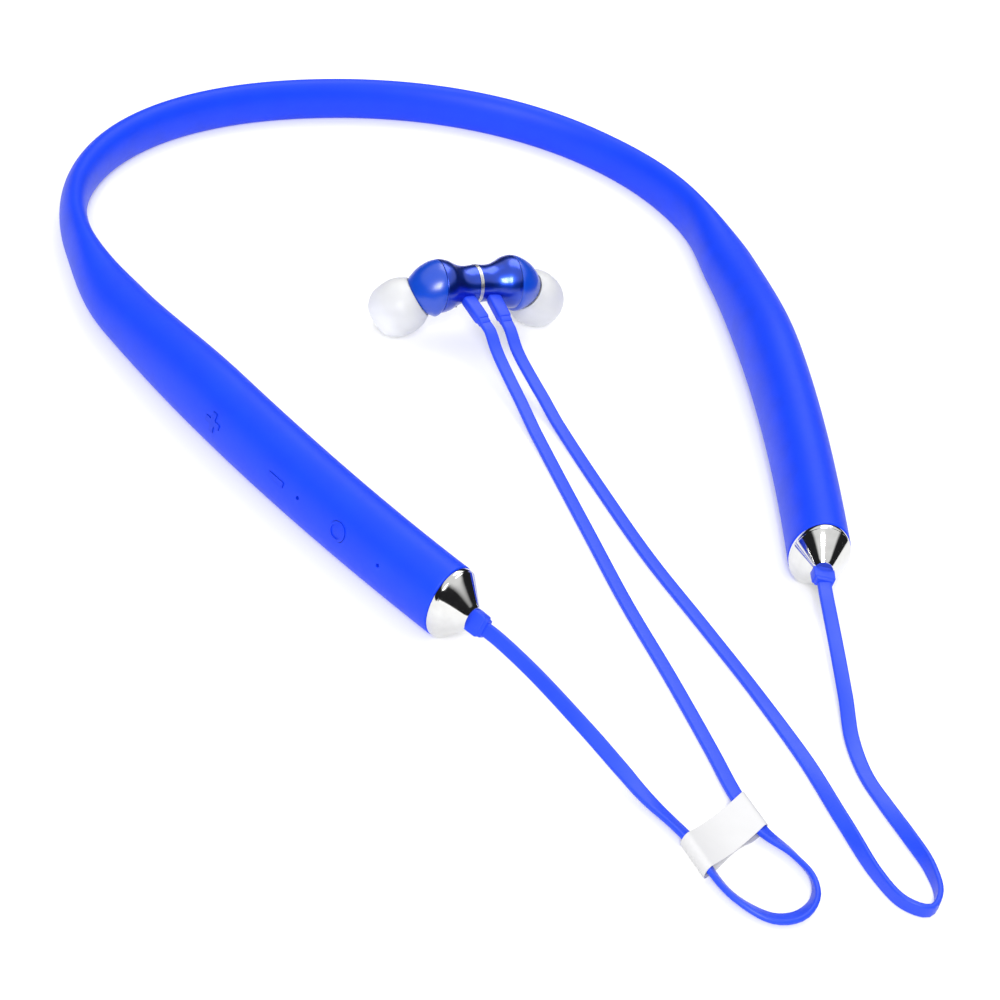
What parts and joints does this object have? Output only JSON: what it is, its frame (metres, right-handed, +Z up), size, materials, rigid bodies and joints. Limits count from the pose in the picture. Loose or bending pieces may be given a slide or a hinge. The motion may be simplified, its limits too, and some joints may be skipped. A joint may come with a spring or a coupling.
{
  "type": "neckband earphones",
  "caption": "Wireless neckband earphones: flexible silicone band, two rigid arms with conical chrome ends, flat cords and magnetic in-ear buds joined back to back.",
  "frame": {"origin": "under the middle of the band and buds, on the surface they lie on; the free cords are not counted", "axes": "+Z up, +Y towards the rear of the band, the arms point towards -Y, the side with the buttons is at -X"},
  "size_m": [0.164, 0.2803, 0.0187],
  "materials": {
    "silicone": "matte, soft sheen",
    "cord_rubber": "satin",
    "blue_metal": "metallic lacquer",
    "blue_gloss": "gloss",
    "chrome": "mirror",
    "clear_silicone": "translucent satin",
    "film": "matt",
    "black_plastic": "matt",
    "board": "satin",
    "tin": "satin",
    "spring_metal": "satin",
    "cell": "satin",
    "lens": "frosted"
  },
  "bodies": {
    "band": {"sleeve_rear": "silicone", "memory_wire": "spring_metal", "rear_harness": "black_plastic", "cord_left": "cord_rubber", "cord_right": "cord_rubber", "cord_tag": "film"},
    "left_arm": {"sleeve_left": "silicone", "pod_left_outer": "black_plastic", "pod_left_inner": "black_plastic", "switch_volume_up": "tin", "switch_volume_down": "tin", "switch_multifunction": "tin", "circuit_board": "board", "bluetooth_module": "tin", "microphone": "tin", "light_pipe": "lens", "usb_socket": "tin", "end_cap_left": "chrome", "strain_relief_left": "cord_rubber"},
    "right_arm": {"sleeve_right": "silicone", "pod_right_outer": "black_plastic", "pod_right_inner": "black_plastic", "battery": "cell", "battery_guard_board": "board", "end_cap_right": "chrome", "strain_relief_right": "cord_rubber"},
    "volume_up": {"button_volume_up": "silicone"},
    "volume_down": {"button_volume_down": "silicone"},
    "multifunction": {"button_multifunction": "silicone"},
    "port_cover": {"usb_cover": "silicone"},
    "left_bud": {"bud_ring_left": "chrome", "bud_shell_left": "blue_metal", "bud_magnet_left": "tin", "bud_driver_left": "tin", "bud_front_left": "blue_gloss", "bud_screen_left": "tin", "cord_boot_left": "cord_rubber"},
    "right_bud": {"bud_ring_right": "chrome", "bud_shell_right": "blue_metal", "bud_magnet_right": "tin", "bud_driver_right": "tin", "bud_front_right": "blue_gloss", "bud_screen_right": "tin", "cord_boot_right": "cord_rubber"},
    "left_tip": {"ear_tip_left": "clear_silicone"},
    "right_tip": {"ear_tip_right": "clear_silicone"}
  },
  "joints": [
    {"name": "left_arm_flex", "type": "hinge", "parent": "band", "child": "left_arm", "pos_m": [-0.07778, 0.03159, 0.0085], "axis": [0, 0, -1], "range_deg": [0, 15], "stiffness_Nm_per_rad": 0.12},
    {"name": "right_arm_flex", "type": "hinge", "parent": "band", "child": "right_arm", "pos_m": [0.07778, 0.03159, 0.0085], "axis": [0, 0, 1], "range_deg": [0, 15], "stiffness_Nm_per_rad": 0.12},
    {"name": "volume_up_press", "type": "slide", "parent": "left_arm", "child": "volume_up", "axis": [0.9078, 0.3301, -0.2588], "range_m": [0, 0.0004], "stiffness_N_per_m": 500},
    {"name": "volume_down_press", "type": "slide", "parent": "left_arm", "child": "volume_down", "axis": [0.9078, 0.3301, -0.2588], "range_m": [0, 0.0004], "stiffness_N_per_m": 500},
    {"name": "multifunction_press", "type": "slide", "parent": "left_arm", "child": "multifunction", "axis": [0.9078, 0.3301, -0.2588], "range_m": [0, 0.0004], "stiffness_N_per_m": 500},
    {"name": "port_cover_hinge", "type": "hinge", "parent": "left_arm", "child": "port_cover", "pos_m": [-0.05942, -0.02698, 0.00609], "axis": [-0.2432, -0.0885, -0.9659], "range_deg": [0, 100]},
    {"name": "left_bud_slide", "type": "slide", "parent": "band", "child": "left_bud", "axis": [-1, 0, 0], "range_m": [0, 0.01]},
    {"name": "right_bud_slide", "type": "slide", "parent": "band", "child": "right_bud", "axis": [1, 0, 0], "range_m": [0, 0.01]},
    {"name": "left_tip_pull", "type": "slide", "parent": "left_bud", "child": "left_tip", "axis": [-0.7716, 0.1355, -0.6215], "range_m": [0, 0.0045]},
    {"name": "right_tip_pull", "type": "slide", "parent": "right_bud", "child": "right_tip", "axis": [0.7716, 0.1355, -0.6215], "range_m": [0, 0.0045]}
  ]
}
